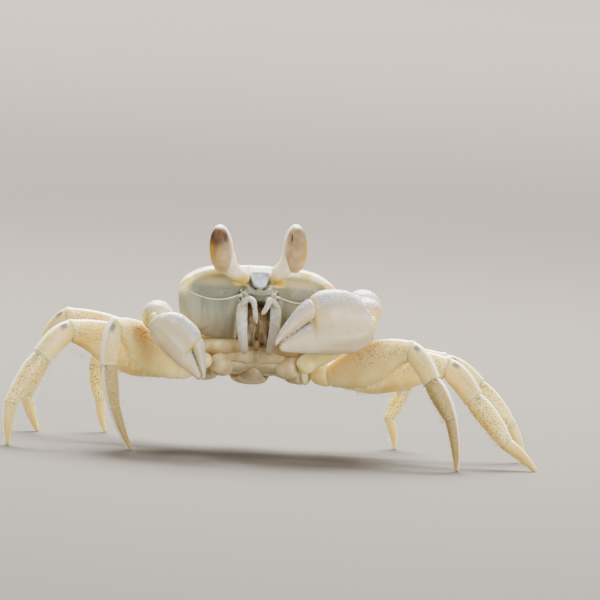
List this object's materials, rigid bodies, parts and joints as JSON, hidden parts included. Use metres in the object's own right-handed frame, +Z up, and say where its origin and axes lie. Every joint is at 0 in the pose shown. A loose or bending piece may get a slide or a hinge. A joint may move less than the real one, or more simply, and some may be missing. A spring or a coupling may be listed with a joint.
{
  "type": "ghost crab",
  "caption": "Life-size still model of a pale ghost crab standing on its walking legs, tall eyes raised, the large left claw held across its face and the small right claw hanging.",
  "frame": {"origin": "middle of the model's bounding box, on the floor under the tips of the walking legs", "axes": "the crab faces -Y, +Z is up, and its right side lies at -X"},
  "size_m": [0.0666, 0.0296, 0.0288],
  "materials": {
    "carapace_shell": "satin pale grey-green shell, cream at the margins",
    "belly_shell": "satin cream shell",
    "claw_shell": "finely granulated white shell",
    "leg_shell": "thin translucent straw-yellow shell with brown specks",
    "eyestalk_shell": "smooth yellowish shell",
    "cornea": "smooth glossy brown to olive cornea",
    "mouthpart_shell": "satin whitish-grey shell"
  },
  "bodies": {
    "root": {"abdomen": "belly_shell", "antenna_left": "eyestalk_shell", "antenna_right": "eyestalk_shell", "carapace": "carapace_shell", "claw_carpus_left": "claw_shell", "claw_carpus_right": "claw_shell", "claw_finger_left": "claw_shell", "claw_finger_right": "claw_shell", "claw_merus_left": "leg_shell", "claw_merus_right": "leg_shell", "claw_palm_left": "claw_shell", "claw_palm_right": "claw_shell", "cornea_left": "cornea", "cornea_right": "cornea", "eyestalk_left": "eyestalk_shell", "eyestalk_right": "eyestalk_shell", "leg1_carpus_left": "leg_shell", "leg1_carpus_right": "leg_shell", "leg1_dactyl_left": "leg_shell", "leg1_dactyl_right": "leg_shell", "leg1_merus_left": "leg_shell", "leg1_merus_right": "leg_shell", "leg1_propodus_left": "leg_shell", "leg1_propodus_right": "leg_shell", "leg2_carpus_left": "leg_shell", "leg2_carpus_right": "leg_shell", "leg2_dactyl_left": "leg_shell", "leg2_dactyl_right": "leg_shell", "leg2_merus_left": "leg_shell", "leg2_merus_right": "leg_shell", "leg2_propodus_left": "leg_shell", "leg2_propodus_right": "leg_shell", "leg3_carpus_left": "leg_shell", "leg3_carpus_right": "leg_shell", "leg3_dactyl_left": "leg_shell", "leg3_dactyl_right": "leg_shell", "leg3_merus_left": "leg_shell", "leg3_merus_right": "leg_shell", "leg3_propodus_left": "leg_shell", "leg3_propodus_right": "leg_shell", "leg4_carpus_left": "leg_shell", "leg4_carpus_right": "leg_shell", "leg4_dactyl_left": "leg_shell", "leg4_dactyl_right": "leg_shell", "leg4_merus_left": "leg_shell", "leg4_merus_right": "leg_shell", "leg4_propodus_left": "leg_shell", "leg4_propodus_right": "leg_shell", "maxilliped_left": "mouthpart_shell", "maxilliped_right": "mouthpart_shell", "sternum": "belly_shell"}
  },
  "joints": []
}
